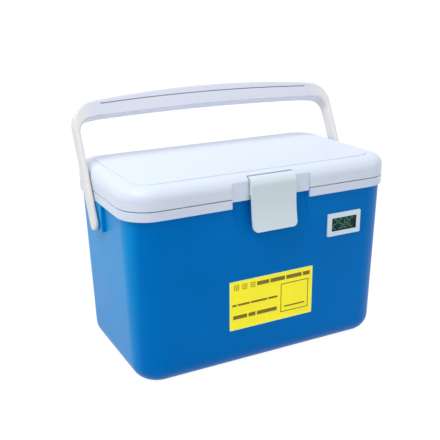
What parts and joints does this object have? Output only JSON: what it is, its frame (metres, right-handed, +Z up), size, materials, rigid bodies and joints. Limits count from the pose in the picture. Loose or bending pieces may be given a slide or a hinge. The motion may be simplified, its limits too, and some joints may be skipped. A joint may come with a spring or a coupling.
{
  "type": "specimen transport box",
  "caption": "Insulated hard transport box with a hinged foam-filled lid, front latch, swinging carry handle and panel thermometer.",
  "frame": {"origin": "centre of the base's foot pad, on the plane the box stands on", "axes": "+Z up, -Y toward the front with the latch and thermometer, +X toward the thermometer's side"},
  "size_m": [0.3576, 0.2121, 0.3119],
  "materials": {
    "blue_shell": "satin",
    "white_liner": "satin",
    "foam": "matte",
    "white_lid": "satin",
    "seal_rubber": "matte",
    "steel_pins": null,
    "latch_white": "satin",
    "handle_white": "satin",
    "grip_white": "satin",
    "pin_plastic": "satin",
    "meter_bezel": "satin",
    "clear_window": "gloss",
    "lcd_glass": "satin",
    "board_green": "satin",
    "cell_steel": null,
    "meter_back": "satin",
    "lead_black": "matte",
    "probe_steel": null,
    "label_yellow": "satin"
  },
  "bodies": {
    "box": {"outer_shell": "blue_shell", "inner_liner": "white_liner", "body_insulation": "foam", "hinge_pins": "steel_pins", "thermometer_case": "meter_bezel", "display_window": "clear_window", "lcd_panel": "lcd_glass", "circuit_board": "board_green", "button_cells": "cell_steel", "battery_cover": "meter_back", "probe_lead": "lead_black", "probe_tip": "probe_steel", "probe_grommet": "seal_rubber", "probe_clip": "white_liner", "label_plate": "label_yellow"},
    "lid": {"lid_cover": "white_lid", "lid_inner_panel": "white_liner", "lid_insulation": "foam", "lid_seal": "seal_rubber", "latch_pin": "steel_pins"},
    "latch": {"latch_tongue": "latch_white"},
    "pivots": {"pivot_pins": "pin_plastic"},
    "handle": {"handle_bail": "handle_white", "handle_grip": "grip_white"}
  },
  "joints": [
    {"name": "lid_hinge", "type": "hinge", "parent": "box", "child": "lid", "pos_m": [0, 0.1016, 0.2085], "axis": [-1, 0, 0], "range_deg": [0, 100]},
    {"name": "latch_hinge", "type": "hinge", "parent": "lid", "child": "latch", "pos_m": [0, -0.0905, 0.221], "axis": [-1, 0, 0], "range_deg": [0, 90]},
    {"name": "handle_lean", "type": "hinge", "parent": "box", "child": "pivots", "pos_m": [0, 0.0075, 0.1742], "axis": [-1, 0, 0], "range_deg": [0, 100]},
    {"name": "handle_swing", "type": "hinge", "parent": "pivots", "child": "handle", "pos_m": [0, 0.0075, 0.1742], "axis": [-1, 0, 0], "range_deg": [-144, 0]}
  ],
  "couplings": [
    {"joint": "handle_lean", "follows": "lid_hinge", "ratio": 1}
  ]
}
